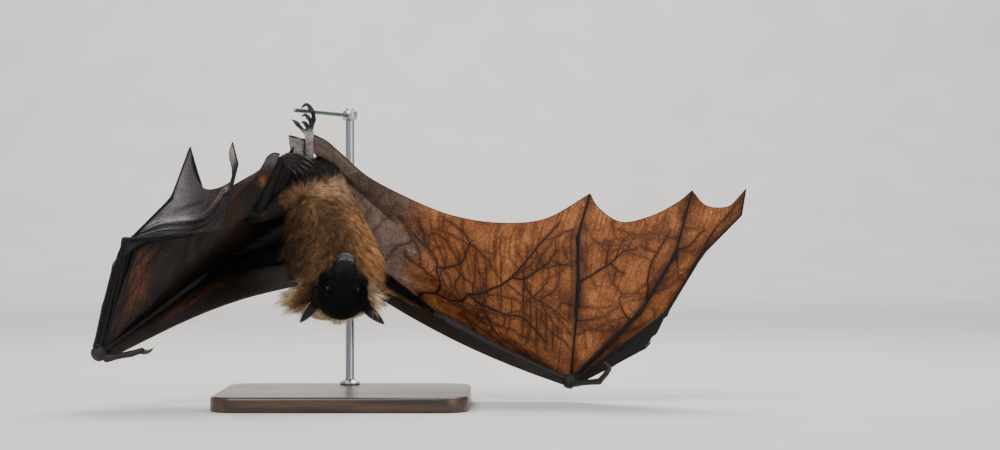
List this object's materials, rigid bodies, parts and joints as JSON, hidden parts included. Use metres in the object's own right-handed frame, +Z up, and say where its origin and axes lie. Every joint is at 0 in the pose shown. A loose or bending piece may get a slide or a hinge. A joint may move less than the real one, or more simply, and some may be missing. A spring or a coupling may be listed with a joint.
{
  "type": "flying fox bat",
  "caption": "Life-size flying fox hanging head down from a short wire perch, a wing spread and the other half folded, held by a display stand.",
  "frame": {"origin": "centre of the underside of the stand's base", "axes": "+Z up; the belly and face look towards -Y; the animal's spread right wing reaches towards +X"},
  "size_m": [0.6414, 0.214, 0.301],
  "materials": {
    "belly_fur": "short golden brown fur",
    "ruff_fur": "long pale cream and golden fur",
    "dark_fur": "short near black fur",
    "bare_skin": "slate black bare skin, satin",
    "wing_skin": "thin veined rust brown skin, satin",
    "eye": "dark brown, glossy",
    "claw": "black horn, satin",
    "stand_wood": "dark stained, satin",
    "stand_steel": "brushed",
    "perch_wire": "dark coated wire"
  },
  "bodies": {
    "root": {"trunk": "belly_fur", "neck_ruff": "ruff_fur", "head": "dark_fur", "eye_right": "eye", "eye_left": "eye", "ear_right": "bare_skin", "ear_left": "bare_skin", "upper_arm_right": "dark_fur", "forearm_right": "bare_skin", "wrist_right": "bare_skin", "thumb_right": "bare_skin", "thumb_claw_right": "claw", "index_finger_right": "bare_skin", "index_claw_right": "claw", "middle_finger_right": "bare_skin", "ring_finger_right": "bare_skin", "little_finger_right": "bare_skin", "side_skin_right": "wing_skin", "fore_skin_right": "wing_skin", "hand_skin_ring_little_right": "wing_skin", "hand_skin_middle_ring_right": "wing_skin", "hand_skin_index_middle_right": "wing_skin", "thigh_right": "dark_fur", "shin_right": "bare_skin", "foot_right": "bare_skin", "spur_right": "bare_skin", "tail_skin_right": "wing_skin", "upper_arm_left": "dark_fur", "forearm_left": "bare_skin", "wrist_left": "bare_skin", "thumb_left": "bare_skin", "thumb_claw_left": "claw", "index_finger_left": "bare_skin", "index_claw_left": "claw", "middle_finger_left": "bare_skin", "ring_finger_left": "bare_skin", "little_finger_left": "bare_skin", "side_skin_left": "wing_skin", "fore_skin_left": "wing_skin", "hand_skin_ring_little_left": "wing_skin", "hand_skin_middle_ring_left": "wing_skin", "hand_skin_index_middle_left": "wing_skin", "thigh_left": "dark_fur", "shin_left": "bare_skin", "foot_left": "bare_skin", "spur_left": "bare_skin", "tail_skin_left": "wing_skin", "stand_base": "stand_wood", "stand_rod": "stand_steel", "stand_wire": "perch_wire"}
  },
  "joints": []
}
